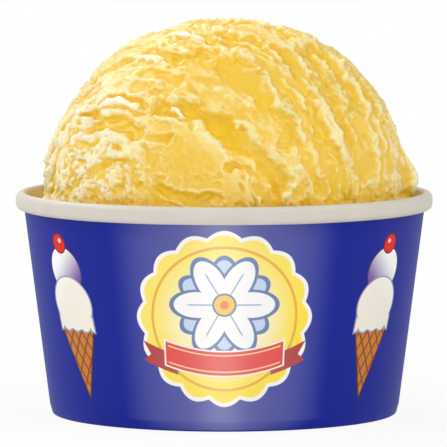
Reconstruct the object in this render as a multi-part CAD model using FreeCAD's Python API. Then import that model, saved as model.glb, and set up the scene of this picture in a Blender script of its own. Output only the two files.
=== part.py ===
import FreeCAD, Part

# A paper cup of scooped ice cream: the rolled-rim wall, the base set into its foot, and the filling
# with the ball that was scooped onto it. Millimetres, +Z up. The origin is the middle of the ring that
# the cup stands on, and the front looks along -Y.

import math
import os

os.makedirs("parts", exist_ok=True)

# Cup, outside
RIM_DIAMETER = 90.0  # over the rolled bead
CUP_HEIGHT = 48.0
FOOT_DIAMETER = 75.0  # the wall's cone, carried down to the table

# Board
WALL_BOARD = 0.45
BASE_BOARD = 0.5
GLUE_GAP = 0.02

# Rolled bead at the rim. Every radius of the board is the one inside the bend.
BEAD_HEIGHT = 3.8
BEAD_OVERHANG = 1.8  # past the wall at its shoulder, where it turns upright into the bead
BEAD_INNER_RADIUS = 0.375
BEAD_OUTER_RADIUS = 0.875
BEAD_TUCK_GAP = 0.1  # from the rolled edge to the wall behind it
SHOULDER_RADIUS = 3.775

# Foot: the wall turns in and up round the base's skirt as a hem
TOE_HEIGHT = 2.2
TOE_RADIUS = 2.775
TREAD_WIDTH = 0.7
TREAD_OUTER_RADIUS = 0.075
TREAD_INNER_RADIUS = 0.035
HEM_BELOW_BASE = 0.5

# Base: a disc with a skirt turned down
BASE_HEIGHT = 5.8  # its upper face
BASE_RADIUS = 0.45
SKIRT_CLEARANCE = 0.4  # from the skirt's lower edge up from the toe's bend
BASE_HUB = 1.0  # radius of the disc's middle, made apart from the ring round it

# Lap seam of the wall, one board's edge proud of the other
SEAM_ANGLE = 95.0  # degrees from the front, towards +X
SEAM_WIDTH = 6.5
SEAM_PROUD = 0.25
SEAM_END_GAP = 0.3  # short of the shoulder and the toe

# Filling inside the cup
FILL_BELOW_RIM = 3.6
FILL_CLEARANCE = 0.1
FILL_CORNER = 1.2  # where it stays off the base's rounded edge
FILL_FACETS = 96

# Ball of ice cream
BALL_SIDE_GAP = 2.25  # from the ball to the wall inside the rim
BALL_HEIGHT_RADIUS = 37.7
BALL_CENTRE_ABOVE_RIM = 0.2
BALL_OFFSET_X = 0.6
BALL_FACET = 2.3
FOOT_FADE = 9.0  # degrees over which the drag marks grow from nothing at the ball's foot

# The scoop rolls the ball round a level axis. Its direction is given from the front, towards +X.
ROLL_AXIS_ANGLE = -45.0
ROLL_AXIS_DIP = -5.0

# Drag marks are arcs round that axis, in degrees: tilt from the axis at both ends, and the turn that
# they span, from 0 over the top to 90 at the foot in front. Half width and rise are in millimetres.
FRONT_MARKS = (
    (44, 62, 24, 80, 3.0, -1.7),
    (50, 67, 34, 84, 1.6, 0.7),
    (69, 69, 28, 64, 3.6, -1.6),
    (75, 72, 22, 72, 1.8, 0.8),
    (87, 80, 38, 72, 2.0, -1.1),
    (92, 85, 34, 78, 1.4, 0.7),
    (97, 91, 34, 72, 2.6, -1.4),
    (101, 95, 38, 80, 1.3, 0.8),
    (106, 98, 34, 78, 2.6, -1.5),
    (110, 105, 40, 82, 1.4, 0.8),
    (116, 112, 42, 80, 2.2, -1.2),
    (31, 31, -10, 21, 2.4, -1.6),
    (41, 42, -10, 12, 1.3, -1.0),
    (61, 61, -4, 13, 1.8, -1.1),
    (72, 76, 0, 20, 2.4, -1.3),
    (52, 54, 4, 22, 1.5, -0.9),
    (26, 40, 66, 80, 2.4, -1.2),
)

# The far side has the same kinds of mark in zones at an even spacing, with uneven lengths: first and
# last tilt, how many, and the turn that they span
FAR_ZONES = (
    (28, 150, 14, -84, -12),
    (124, 168, 5, 6, 86),
)
FAR_HALF_WIDTH = 2.3
FAR_DEPTH = 1.25
FAR_RIDGE_HALF_WIDTH = 1.5
FAR_RIDGE_RISE = 0.6
FAR_UNEVEN_START = 12.0
FAR_UNEVEN_END = 24.0
FAR_DRIFT = 8.0
GOLDEN_SHARE = 0.618

# Swells of the ball: direction from the front towards +X, height angle, radius and rise
SWELLS = (
    (84, 7, 6.0, 1.0),
    (-68, 14, 13.0, 0.8),
    (-20, 66, 10.0, 0.5),
    (18, 8, 10.0, 0.5),
    (150, 10, 8.0, 0.8),
    (-130, 22, 11.0, 0.7),
)


def point(radius, height):
    return FreeCAD.Vector(radius, 0, height)


class Cone:
    """The wall's outer cone up to the shoulder, and faces parallel to it."""

    shoulder_height = CUP_HEIGHT - BEAD_HEIGHT
    slope = ((RIM_DIAMETER - FOOT_DIAMETER) / 2 - BEAD_OVERHANG) / shoulder_height
    lean = math.atan(slope)

    @classmethod
    def radius(cls, height, inset=0.0):
        """Radius at a height of the face that lies inset inside the outer one."""
        return FOOT_DIAMETER / 2 + height * cls.slope - inset / math.cos(cls.lean)


BALL_RADIUS = Cone.radius(Cone.shoulder_height, WALL_BOARD) - BALL_SIDE_GAP
BALL_CENTRE_HEIGHT = CUP_HEIGHT + BALL_CENTRE_ABOVE_RIM


def bent_line(corners, board):
    """The stops of a board's middle line through corners (radius, height, radius inside the bend).

    A bend gives its start and end with the ways there, its centre and radius, and the side it turns to."""
    places = [point(r, z) for r, z, _ in corners]
    ways = [(b - a).normalize() for a, b in zip(places, places[1:])]
    stops = [("end", places[0], ways[0])]
    for i in range(1, len(places) - 1):
        before, after = ways[i - 1], ways[i]
        bend = corners[i][2] + board / 2
        turn = before.getAngle(after)
        side = 1 if before.x * after.z - before.z * after.x > 0 else -1
        reach = bend * math.tan(turn / 2)
        start = places[i] - before * reach
        centre = start + left_of(before) * (side * bend)
        stops.append(("bend", start, before, places[i] + after * reach, after, centre, bend, side))
    stops.append(("end", places[-1], ways[-1]))
    return stops


def left_of(way):
    return FreeCAD.Vector(-way.z, 0, way.x)


def one_face_of(stops, offset):
    """Edges of the line through stops, moved to its left by offset."""
    edges = []
    last = stops[0][1] + left_of(stops[0][2]) * offset
    for stop in stops[1:-1]:
        _, start, before, end, after, centre, bend, side = stop
        radius = bend - side * offset
        first = start + left_of(before) * offset
        final = end + left_of(after) * offset
        middle = centre + ((first + final) / 2 - centre).normalize() * radius
        edges.append(Part.LineSegment(last, first).toShape())
        edges.append(Part.Arc(first, middle, final).toShape())
        last = final
    stop = stops[-1][1] + left_of(stops[-1][2]) * offset
    edges.append(Part.LineSegment(last, stop).toShape())
    return edges, stop


def board_section(corners, board):
    """The section of a bent board whose middle runs through the corners."""
    stops = bent_line(corners, board)
    left, left_end = one_face_of(stops, board / 2)
    right, right_end = one_face_of(stops, -board / 2)
    left_start = left[0].Vertexes[0].Point
    right_start = right[0].Vertexes[0].Point
    caps = [
        Part.LineSegment(left_end, right_end).toShape(),
        Part.LineSegment(right_start, left_start).toShape(),
    ]
    return Part.Face(Part.Wire(Part.__sortEdges__(left + right + caps)))


def turned(face, start=0.0, sweep=360.0):
    axis = FreeCAD.Vector(0, 0, 1)
    body = face.revolve(FreeCAD.Vector(0, 0, 0), axis, sweep)
    body.rotate(FreeCAD.Vector(0, 0, 0), axis, start)
    return body


def wall_corners():
    """The wall's middle line, from the hem's edge round the foot and up into the rolled bead."""
    half = WALL_BOARD / 2
    hem_inset = half + WALL_BOARD + BASE_BOARD + 2 * GLUE_GAP
    hem_height = BASE_HEIGHT - BASE_BOARD - HEM_BELOW_BASE
    upright = Cone.radius(Cone.shoulder_height, half)
    bead_outer = RIM_DIAMETER / 2 - half
    bead_under = CUP_HEIGHT - BEAD_HEIGHT + half
    tread = Cone.radius(half, hem_inset)
    return [
        (Cone.radius(hem_height, hem_inset), hem_height, 0),
        (tread, half, TREAD_INNER_RADIUS),
        (tread + TREAD_WIDTH, half, TREAD_OUTER_RADIUS),
        (Cone.radius(TOE_HEIGHT, half), TOE_HEIGHT, TOE_RADIUS),
        (upright, Cone.shoulder_height, SHOULDER_RADIUS),
        (upright, CUP_HEIGHT - half, BEAD_INNER_RADIUS),
        (bead_outer, CUP_HEIGHT - half, BEAD_OUTER_RADIUS),
        (bead_outer, bead_under, BEAD_OUTER_RADIUS),
        (upright + half + BEAD_TUCK_GAP, bead_under, 0),
    ]


def seam_strip():
    """The outer edge of the lap, a strip that stands proud along the wall's slope."""
    low = TOE_HEIGHT + TOE_RADIUS * Cone.slope + SEAM_END_GAP
    high = Cone.shoulder_height - SEAM_END_GAP
    outline = [
        point(Cone.radius(low, WALL_BOARD / 2), low),
        point(Cone.radius(low, -SEAM_PROUD), low),
        point(Cone.radius(high, -SEAM_PROUD), high),
        point(Cone.radius(high, WALL_BOARD / 2), high),
    ]
    sweep = math.degrees(SEAM_WIDTH / (FOOT_DIAMETER / 2))
    face = Part.Face(Part.makePolygon(outline + outline[:1]))
    return turned(face, SEAM_ANGLE - 90 - sweep / 2, sweep)


def make_cup_wall():
    sheet = turned(board_section(wall_corners(), WALL_BOARD))
    return sheet.fuse(seam_strip()).removeSplitter()


def make_cup_base():
    half = BASE_BOARD / 2
    inset = WALL_BOARD + GLUE_GAP + half
    disc_height = BASE_HEIGHT - half
    skirt_low = TOE_HEIGHT + SKIRT_CLEARANCE
    corner = Cone.radius(disc_height, inset)
    corners = [
        (BASE_HUB, disc_height, 0),
        (corner, disc_height, BASE_RADIUS),
        (Cone.radius(skirt_low, inset), skirt_low, 0),
    ]
    ring = turned(board_section(corners, BASE_BOARD))
    middle = Part.makeCylinder(BASE_HUB, BASE_BOARD, point(0, disc_height - half))
    return ring.fuse(middle).removeSplitter()


def direction(angle, height_angle):
    """Unit vector at an angle from the front towards +X, and at an angle above the level."""
    turn = math.radians(angle)
    rise = math.radians(height_angle)
    return (
        math.cos(rise) * math.sin(turn),
        -math.cos(rise) * math.cos(turn),
        math.sin(rise),
    )


def dot(a, b):
    return sum(p * q for p, q in zip(a, b))


def cross(a, b):
    return (
        a[1] * b[2] - a[2] * b[1],
        a[2] * b[0] - a[0] * b[2],
        a[0] * b[1] - a[1] * b[0],
    )


def roll_frame():
    """The roll axis, and the two directions that its turn is measured from: the top and the front."""
    axis = direction(ROLL_AXIS_ANGLE, ROLL_AXIS_DIP)
    front = cross(axis, (0, 0, 1))
    size = math.sqrt(dot(front, front))
    front = tuple(-p / size for p in front)
    top = cross(axis, front)
    return axis, top, front


def far_marks():
    marks = []
    for tilt_low, tilt_high, count, turn_low, turn_high in FAR_ZONES:
        spacing = (tilt_high - tilt_low) / (count - 1)
        for k in range(count):
            share = (k * GOLDEN_SHARE) % 1
            tilt = tilt_low + k * spacing
            first = turn_low + FAR_UNEVEN_START * share
            last = turn_high - FAR_UNEVEN_END * ((share * 3) % 1)
            width = FAR_HALF_WIDTH * (0.8 + 0.5 * share)
            depth = FAR_DEPTH * (0.7 + 0.6 * share)
            marks.append((tilt, tilt + FAR_DRIFT * (share - 0.5), first, last, width, -depth))
            ridge = tilt + spacing / 2
            marks.append((ridge, ridge, first, last, FAR_RIDGE_HALF_WIDTH, FAR_RIDGE_RISE))
    return marks


def smooth(share):
    share = min(1.0, max(0.0, share))
    return share * share * (3 - 2 * share)


MARKS = FRONT_MARKS + tuple(far_marks())
ROLL = roll_frame()


def relief(way):
    """How far the ball's skin stands out of the plain ball in a direction."""
    axis, top, front = ROLL
    tilt = math.degrees(math.acos(max(-1.0, min(1.0, dot(way, axis)))))
    turn = math.degrees(math.atan2(dot(way, front), dot(way, top)))
    step = math.radians(1) * BALL_RADIUS
    rise = 0.0
    for tilt_a, tilt_b, turn_a, turn_b, width, height in MARKS:
        share = (turn - turn_a) / (turn_b - turn_a)
        held = min(1.0, max(0.0, share))
        across = (tilt - tilt_a - (tilt_b - tilt_a) * held) * step
        past = (share - held) * (turn_b - turn_a) * step * math.sin(math.radians(tilt))
        reach = (across * across + past * past) / (width * width)
        if reach < 9:
            rise += height * math.exp(-reach)
    for angle, height_angle, radius, height in SWELLS:
        near = dot(way, direction(angle, height_angle))
        gap = math.degrees(math.acos(max(-1.0, min(1.0, near)))) * step
        rise += height * math.exp(-((gap / radius) ** 2))
    above_foot = math.degrees(math.asin(way[2])) - foot_angle()
    return rise * smooth(above_foot / FOOT_FADE)


def foot_angle():
    """The height angle where the ball meets the filling's level."""
    level = CUP_HEIGHT - FILL_BELOW_RIM
    return math.degrees(math.asin((level - BALL_CENTRE_HEIGHT) / BALL_HEIGHT_RADIUS))


def ball_ring(height_angle, count):
    """One level ring of points on the ball's skin, starting at the back."""
    ring = []
    for k in range(count):
        way = direction(360.0 * k / count - 180.0, height_angle)
        rise = relief(way)
        ring.append(
            (
                BALL_OFFSET_X + way[0] * (BALL_RADIUS + rise),
                way[1] * (BALL_RADIUS + rise),
                BALL_CENTRE_HEIGHT + way[2] * (BALL_HEIGHT_RADIUS + rise),
            )
        )
    return ring


def cup_ring(radius, height):
    """One ring of the filling, inside the cup's wall."""
    ring = []
    for k in range(FILL_FACETS):
        way = direction(360.0 * k / FILL_FACETS - 180.0, 0)
        ring.append((way[0] * radius, way[1] * radius, height))
    return ring


def filling_rings():
    """Rings from the filling's bottom up to its level and over the ball."""
    low = BASE_HEIGHT + GLUE_GAP
    level = CUP_HEIGHT - FILL_BELOW_RIM
    inset = WALL_BOARD + FILL_CLEARANCE
    side = low + FILL_CORNER
    rings = [
        cup_ring(Cone.radius(low, inset) - FILL_CORNER, low),
        cup_ring(Cone.radius(side, inset), side),
        cup_ring(Cone.radius(min(level, Cone.shoulder_height), inset), level),
    ]
    first = foot_angle()
    steps = round(math.radians(90 - first) * BALL_RADIUS / BALL_FACET)
    for j in range(steps):
        height_angle = first + (90 - first) * j / steps
        around = 2 * math.pi * BALL_RADIUS * math.cos(math.radians(height_angle))
        rings.append(ball_ring(height_angle, max(6, round(around / BALL_FACET))))
    return rings


def stitch(first_a, count_a, first_b, count_b):
    """Triangles between a ring and the ring above it, both counted the same way round."""
    faces = []
    a = b = 0
    while a < count_a or b < count_b:
        this_a = first_a + a % count_a
        this_b = first_b + b % count_b
        if b == count_b or (a < count_a and (a + 1) * count_b <= (b + 1) * count_a):
            faces.append((this_a, first_a + (a + 1) % count_a, this_b))
            a += 1
        else:
            faces.append((this_a, first_b + (b + 1) % count_b, this_b))
            b += 1
    return faces


def make_ice_cream():
    rings = filling_rings()
    points = []
    firsts = []
    for ring in rings:
        firsts.append(len(points))
        points += ring
    bottom = len(points)
    points.append((0, 0, rings[0][0][2]))
    crown = direction(0, 90)
    points.append((BALL_OFFSET_X, 0, BALL_CENTRE_HEIGHT + BALL_HEIGHT_RADIUS + relief(crown)))
    faces = []
    for j in range(len(rings) - 1):
        faces += stitch(firsts[j], len(rings[j]), firsts[j + 1], len(rings[j + 1]))
    for k in range(len(rings[0])):
        faces.append((bottom, firsts[0] + (k + 1) % len(rings[0]), firsts[0] + k))
    for k in range(len(rings[-1])):
        faces.append((firsts[-1] + k, firsts[-1] + (k + 1) % len(rings[-1]), bottom + 1))
    skin = Part.Shape()
    skin.makeShapeFromMesh(([FreeCAD.Vector(*p) for p in points], faces), 1e-5)
    body = Part.makeSolid(Part.Shell(skin.Faces))
    if body.Volume < 0:
        body.reverse()
    return body


def save(name, shape):
    solid = shape if shape.ShapeType == "Solid" else shape.Solids[0]
    if len(shape.Solids) != 1 or not solid.isValid():
        raise ValueError(name + " is not one valid solid")
    solid.exportStep("parts/" + name + ".step")
    print(name, "volume", round(solid.Volume, 1), "faces", len(solid.Faces))


save("cup_wall", make_cup_wall())
save("cup_base", make_cup_base())
save("ice_cream", make_ice_cream())
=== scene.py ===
# A paper cup of scooped vanilla ice cream: finishes, fine relief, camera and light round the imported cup.
import math

import bpy
import numpy as np
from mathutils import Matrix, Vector


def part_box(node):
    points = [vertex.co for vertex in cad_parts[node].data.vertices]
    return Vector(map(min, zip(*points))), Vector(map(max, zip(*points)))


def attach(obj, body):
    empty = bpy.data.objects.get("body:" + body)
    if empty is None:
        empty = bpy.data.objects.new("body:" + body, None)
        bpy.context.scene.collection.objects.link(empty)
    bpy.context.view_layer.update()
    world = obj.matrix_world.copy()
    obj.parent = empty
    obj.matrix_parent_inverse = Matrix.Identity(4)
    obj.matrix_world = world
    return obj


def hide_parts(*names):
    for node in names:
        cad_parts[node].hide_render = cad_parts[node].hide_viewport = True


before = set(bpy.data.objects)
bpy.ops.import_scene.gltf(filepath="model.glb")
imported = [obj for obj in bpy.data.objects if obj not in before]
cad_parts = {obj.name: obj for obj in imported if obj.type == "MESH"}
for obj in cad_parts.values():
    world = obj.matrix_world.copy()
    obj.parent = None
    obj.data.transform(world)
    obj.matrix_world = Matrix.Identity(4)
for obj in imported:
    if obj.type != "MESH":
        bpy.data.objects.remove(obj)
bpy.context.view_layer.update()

MM = 0.001

# Cup, in millimetres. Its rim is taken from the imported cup, and the rest repeats that cup's values.
_, rim_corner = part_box("cup_wall")
RIM_RADIUS = rim_corner.x / MM
CUP_HEIGHT = rim_corner.z / MM
FOOT_RADIUS = 37.5  # the wall's cone, carried down to the table
WALL_BOARD = 0.45
BASE_BOARD = 0.5
GLUE_GAP = 0.02
AROUND = 480  # steps round the cup
BEND_STEP = 12.0  # degrees of a bend between two points of the section
CRISP_ANGLE = 40.0  # degrees between two faces from which their edge is crisp

# Rolled bead at the rim. The radius of each bend is the one inside it.
BEAD_HEIGHT = 3.8
BEAD_OVERHANG = 1.8
BEAD_INNER_BEND = 0.375
BEAD_OUTER_BEND = 0.875
BEAD_TUCK_GAP = 0.1  # from the rolled edge to the wall behind it
SHOULDER_BEND = 3.775
SHOULDER = CUP_HEIGHT - BEAD_HEIGHT
SLOPE = (RIM_RADIUS - BEAD_OVERHANG - FOOT_RADIUS) / SHOULDER
# Its slight waver: how far from the shoulder it grows from nothing to full, then waves round the cup,
# where they start in radians, and their size
WAVER_LOW = -1.0
WAVER_FULL = 1.5
BEAD_SIDEWAYS = ((3, 1.0, 0.05), (7, 0.0, 0.03))
BEAD_UPWARD = ((2, 0.6, 0.06), (5, 2.0, 0.03))

# Foot, folded in and up as a hem round the skirt of the base
TOE_HEIGHT = 2.2
TOE_BEND = 2.775
TREAD_WIDTH = 0.7
TREAD_OUTER_BEND = 0.075
TREAD_INNER_BEND = 0.035
HEM_BELOW_BASE = 0.5
HEM_MARGIN = 0.5  # the hem lies further than this inside the foot's radius
BASE_HEIGHT = 5.8
BASE_BEND = 0.45
BASE_EYE = 0.5  # radius left open in the middle of the turned base
SKIRT_LOW = 2.6

# Lap seam of the wall, one edge of the board proud of the other
SEAM_ANGLE = 95.0
SEAM_WIDTH = 6.5
SEAM_PROUD = 0.25
SEAM_TOE_FADE = 1.0
SEAM_SHOULDER_FADE = 0.8

# Filling, and the ball on it
FILL_LEVEL = CUP_HEIGHT - 3.6
FILL_CLEARANCE = 0.1
FILL_CORNER = 1.2  # where it stays off the rounded edge of the base
FILL_SHOULDER_GAP = 0.2
# The filling dips a little beside the ball
DIP_WIDTH = 1.4
DIP_DEPTH = 0.1
BALL_SIDE_GAP = 2.25  # from the ball to the wall inside the rim
BALL_HEIGHT_RADIUS = 37.7
BALL_CENTRE = np.array([0.6, 0.0, CUP_HEIGHT + 0.2])
BALL_EDGE = 0.372  # side of a facet of the ball's skin
BALL_ROW = 0.87  # height of a row of facets, as a share of their side
FOOT_ANGLE = math.degrees(math.asin((FILL_LEVEL - BALL_CENTRE[2]) / BALL_HEIGHT_RADIUS))
ROLL_AXIS = (-45.0, -5.0)  # direction of the axis that the scoop rolled the ball round


def cone_radius(height, inset=0.0):
    """Radius at a height of the face that lies inset inside the wall's outer cone."""
    return FOOT_RADIUS + height * SLOPE - inset / math.cos(math.atan(SLOPE))


BALL_RADIUS = cone_radius(SHOULDER, WALL_BOARD) - BALL_SIDE_GAP
DEGREE = math.radians(1) * BALL_RADIUS  # a degree along the ball's skin


# ---------------------------------------------------------------- shader sums


class Value:
    """A socket that takes part in Python sums. Each operation adds its Math node."""

    def __init__(self, finish, socket):
        self.finish = finish
        self.socket = socket

    def maths(self, operation, *values):
        return self.finish.node("Math", {"operation": operation}, dict(enumerate(values)))

    def __add__(self, other):
        return self.maths("ADD", self, other)

    def __radd__(self, other):
        return self.maths("ADD", other, self)

    def __sub__(self, other):
        return self.maths("SUBTRACT", self, other)

    def __rsub__(self, other):
        return self.maths("SUBTRACT", other, self)

    def __mul__(self, other):
        return self.maths("MULTIPLY", self, other)

    def __rmul__(self, other):
        return self.maths("MULTIPLY", other, self)

    def __truediv__(self, other):
        return self.maths("DIVIDE", self, other)

    def __pow__(self, other):
        return self.maths("POWER", self, other)

    def __abs__(self):
        return self.maths("ABSOLUTE", self)

    def least(self, other):
        return self.maths("MINIMUM", self, other)

    def most(self, other):
        return self.maths("MAXIMUM", self, other)

    def cosine(self):
        return self.maths("COSINE", self)

    def sine(self):
        return self.maths("SINE", self)

    def wrapped(self, span):
        """This value folded into the span from -span / 2 to span / 2."""
        return self.maths("WRAP", self, span / 2, -span / 2)

    def rising(self, low, high):
        """0 below low, 1 above high, smooth between."""
        settings = {"interpolation_type": "SMOOTHSTEP"}
        return self.finish.node("MapRange", settings, {0: self, 1: low, 2: high})

    def inside(self, soft=0.07):
        """1 where a distance is negative, 0 outside, with a soft edge."""
        return 1 - self.rising(-soft, soft)


def length(a, b):
    """The length of a way that goes a one way and b across it."""
    return (a * a + b * b) ** 0.5


def angle_of(a, b):
    """The angle whose sine goes with a and cosine with b, in radians."""
    return a.maths("ARCTAN2", a, b)


class Finish:
    """The nodes of one material, or of the world. Every one of them comes from node()."""

    def __init__(self, holder):
        self.material = holder
        holder.use_nodes = True
        self.tree = holder.node_tree
        self.tree.nodes.clear()

    def node(self, kind, settings=None, sockets=None, out=0):
        """One output of a new node, which gets its settings first, then its sockets' values or links."""
        made = self.tree.nodes.new("ShaderNode" + kind)
        for key, value in (settings or {}).items():
            if key == "stops":
                set_stops(made.color_ramp, value)
            else:
                setattr(made, key, value)
        for key, value in (sockets or {}).items():
            if isinstance(value, Value):
                self.tree.links.new(value.socket, made.inputs[key])
            elif isinstance(value, tuple) and len(value) == 3 and made.inputs[key].type == "RGBA":
                made.inputs[key].default_value = (*value, 1)
            else:
                made.inputs[key].default_value = value
        return Value(self, made.outputs[out]) if made.outputs else None

    def blend(self, share, under, over):
        """The colour under, covered by the colour over as far as share says."""
        return self.node("Mix", {"data_type": "RGBA"}, {0: share, 6: under, 7: over}, out=2)

    def printed(self, colour, edge, outline, fill, width=0.35):
        """A colour with a shape printed over it: a fill inside its edge, and an outline round it."""
        colour = self.blend((edge - width).inside(), colour, outline)
        return self.blend(edge.inside(), colour, fill)

    def attribute(self, name):
        """A number that the mesh holds at each of its points."""
        return self.node("Attribute", {"attribute_name": name}, out="Fac")

    def looked_at(self):
        """1 where the camera looks, straight on or by way of a gloss, and 0 for other light."""
        seen = self.node("LightPath", out="Is Camera Ray")
        for ray in ("Is Glossy Ray", "Is Transmission Ray"):
            seen = seen.most(self.node("LightPath", out=ray))
        return seen

    def place(self):
        """The point's own place in millimetres, as three values."""
        spot = self.node("TexCoord", out="Object")
        scaled = self.node("VectorMath", {"operation": "SCALE"}, {0: spot, "Scale": 1 / MM})
        return [self.node("SeparateXYZ", None, {0: scaled}, out=k) for k in range(3)]

    def noise(self, size, detail=2.0, roughness=0.5, offset=0.0):
        """Noise from 0 to 1 with lumps about size millimetres across."""
        spot = self.node("TexCoord", out="Object")
        moved = self.node("VectorMath", {"operation": "ADD"}, {0: spot, 1: (offset * MM,) * 3})
        sockets = {"Vector": moved, "Scale": 1 / (size * MM), "Detail": detail}
        return self.node("TexNoise", None, {**sockets, "Roughness": roughness})

    def bump(self, height, depth):
        """A normal from a height of 0 to 1 that stands for depth millimetres."""
        return self.node("Bump", None, {"Height": height, "Strength": 1.0, "Distance": depth * MM})

    def surface(self, **sockets):
        """A Principled surface. Names have _ for the socket's spaces."""
        named = {key.replace("_", " "): value for key, value in sockets.items()}
        return self.node("BsdfPrincipled", None, named)

    def close(self, surface):
        """The material, with its surface led to its output."""
        self.node("OutputMaterial", None, {"Surface": surface})
        return self.material


def set_stops(ramp, stops):
    """Give a ramp its colours, each with its position."""
    while len(ramp.elements) > 1:
        ramp.elements.remove(ramp.elements[-1])
    for k, (position, colour) in enumerate(stops):
        element = ramp.elements[0] if k == 0 else ramp.elements.new(position)
        element.position = position
        element.color = (*colour, 1)


def ink(red, green, blue):
    """A colour as a printer names it, 0 to 255, in the linear light that materials take."""
    return tuple(
        (c / 255 / 12.92) if c <= 10.3 else ((c / 255 + 0.055) / 1.055) ** 2.4
        for c in (red, green, blue)
    )


# ---------------------------------------------------------------- lumps and waves


LOW_32_BITS = 0xFFFFFFFF
LOW_24_BITS = 0xFFFFFF


def scramble(cell, seed):
    """A number from 0 to 1 for each whole-numbered cell, the same each time."""
    x, y, z = (cell[..., k].astype(np.int64) for k in range(3))
    mixed = (x * 374761393 + y * 668265263 + z * 2147483647 + seed * 144665) & LOW_32_BITS
    for shift, factor in ((13, 1274126177), (16, 2246822519)):
        mixed = ((mixed ^ (mixed >> shift)) * factor) & LOW_32_BITS
    return ((mixed ^ (mixed >> 15)) & LOW_24_BITS) / LOW_24_BITS


def lumps(points, size, seed=0):
    """Smooth noise from -1 to 1 with lumps about size across."""
    at = points / size
    cell = np.floor(at)
    part = at - cell
    ease = part * part * part * (part * (part * 6 - 15) + 10)
    total = 0.0
    for corner in np.ndindex(2, 2, 2):
        share = np.prod(np.where(corner, ease, 1 - ease), axis=-1)
        total = total + share * scramble(cell + corner, seed)
    return total * 2 - 1


def rough(points, size, octaves=4, gain=0.5, seed=0):
    """Lumps on lumps, each layer half the size of the one before."""
    total = 0.0
    weight = 1.0
    for k in range(octaves):
        total = total + weight * lumps(points, size / 2**k, seed + k * 17)
        weight *= gain
    return total


def crests(points, size, octaves=3, gain=0.5, seed=0):
    """Sharp crests with round valleys between, from about 0 to 1."""
    total = 0.0
    weight = 1.0
    reach = 0.0
    for k in range(octaves):
        total = total + weight * (1 - np.abs(lumps(points, size / 2**k, seed + k * 31))) ** 2
        reach += weight
        weight *= gain
    return total / reach


def smooth(value, low, high):
    """0 below low, 1 above high, smooth between."""
    share = np.clip((value - low) / (high - low), 0, 1)
    return share * share * (3 - 2 * share)


# ---------------------------------------------------------------- meshes


def build(name, points, faces, materials, slots=None, crisp_angle=None):
    """A mesh object from points in millimetres, with a material's number for each face in slots."""
    mesh = bpy.data.meshes.new(name)
    mesh.from_pydata((np.asarray(points) * MM).tolist(), [], faces)
    for material in materials:
        mesh.materials.append(material)
    if slots is not None:
        mesh.polygons.foreach_set("material_index", slots)
    mesh.shade_smooth()
    if crisp_angle:
        mesh.set_sharp_from_angle(angle=math.radians(crisp_angle))
    mesh.update()
    piece = bpy.data.objects.new(name, mesh)
    bpy.context.collection.objects.link(piece)
    return piece


def stitch(first_a, count_a, first_b, count_b):
    """Triangles between a ring and the ring above it, both counted the same way round."""
    faces = []
    a = b = 0
    while a < count_a or b < count_b:
        this_a = first_a + a % count_a
        this_b = first_b + b % count_b
        if b == count_b or (a < count_a and (a + 1) * count_b <= (b + 1) * count_a):
            faces.append((this_a, first_a + (a + 1) % count_a, this_b))
            a += 1
        else:
            faces.append((this_a, first_b + (b + 1) % count_b, this_b))
            b += 1
    return faces


def board_outline(corners, board):
    """Points round the section of a bent board, with 0 for its inner face and 1 for its outer one.

    Corners are (radius, height, radius inside the bend) along the middle of the board."""
    spots = [np.array(corner[:2], float) for corner in corners]
    ways = [(b - a) / np.linalg.norm(b - a) for a, b in zip(spots, spots[1:])]
    faces = []
    for offset in (board / 2, -board / 2):
        line = [spots[0] + left_of(ways[0]) * offset]
        for i in range(1, len(spots) - 1):
            before, after = ways[i - 1], ways[i]
            turn = math.atan2(before[0] * after[1] - before[1] * after[0], before @ after)
            bend = corners[i][2] + board / 2
            side = math.copysign(1, turn)
            start = spots[i] - before * bend * math.tan(abs(turn) / 2)
            centre = start + left_of(before) * side * bend
            steps = max(2, math.ceil(abs(math.degrees(turn)) / BEND_STEP))
            for k in range(steps + 1):
                swing = turn * k / steps
                spoke = swung(left_of(before) * -side, swing)
                line.append(centre + spoke * (bend - side * offset))
        line.append(spots[-1] + left_of(ways[-1]) * offset)
        faces.append(line)
    inner, outer = faces
    points = np.array(inner + outer[::-1])
    side = np.array([0] * len(inner) + [1] * len(outer))
    return points, side


def left_of(way):
    """The way a quarter turn to the left."""
    return np.array([-way[1], way[0]])


def swung(way, swing):
    """A way turned to the left by an angle in radians."""
    return way * math.cos(swing) + left_of(way) * math.sin(swing)


def direction(angle, height_angle):
    """Unit vectors at an angle from the front towards +X, and at an angle above the level."""
    turn = np.radians(angle)
    rise = np.radians(height_angle)
    return np.stack(
        [np.cos(rise) * np.sin(turn), -np.cos(rise) * np.cos(turn), np.sin(rise) + 0 * turn], axis=-1
    )


# ---------------------------------------------------------------- the cup's board


def wall_corners():
    """Middle of the wall's board, from the hem's edge round the foot to the rolled edge of the bead."""
    half = WALL_BOARD / 2
    hem_inset = half + WALL_BOARD + BASE_BOARD + 2 * GLUE_GAP
    hem_height = BASE_HEIGHT - BASE_BOARD - HEM_BELOW_BASE
    tread = cone_radius(half, hem_inset)
    upright = cone_radius(SHOULDER, half)
    bead_outer = RIM_RADIUS - half
    bead_under = SHOULDER + half
    return [
        (cone_radius(hem_height, hem_inset), hem_height, 0),
        (tread, half, TREAD_INNER_BEND),
        (tread + TREAD_WIDTH, half, TREAD_OUTER_BEND),
        (cone_radius(TOE_HEIGHT, half), TOE_HEIGHT, TOE_BEND),
        (upright, SHOULDER, SHOULDER_BEND),
        (upright, CUP_HEIGHT - half, BEAD_INNER_BEND),
        (bead_outer, CUP_HEIGHT - half, BEAD_OUTER_BEND),
        (bead_outer, bead_under, BEAD_OUTER_BEND),
        (upright + half + BEAD_TUCK_GAP, bead_under, 0),
    ]


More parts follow.
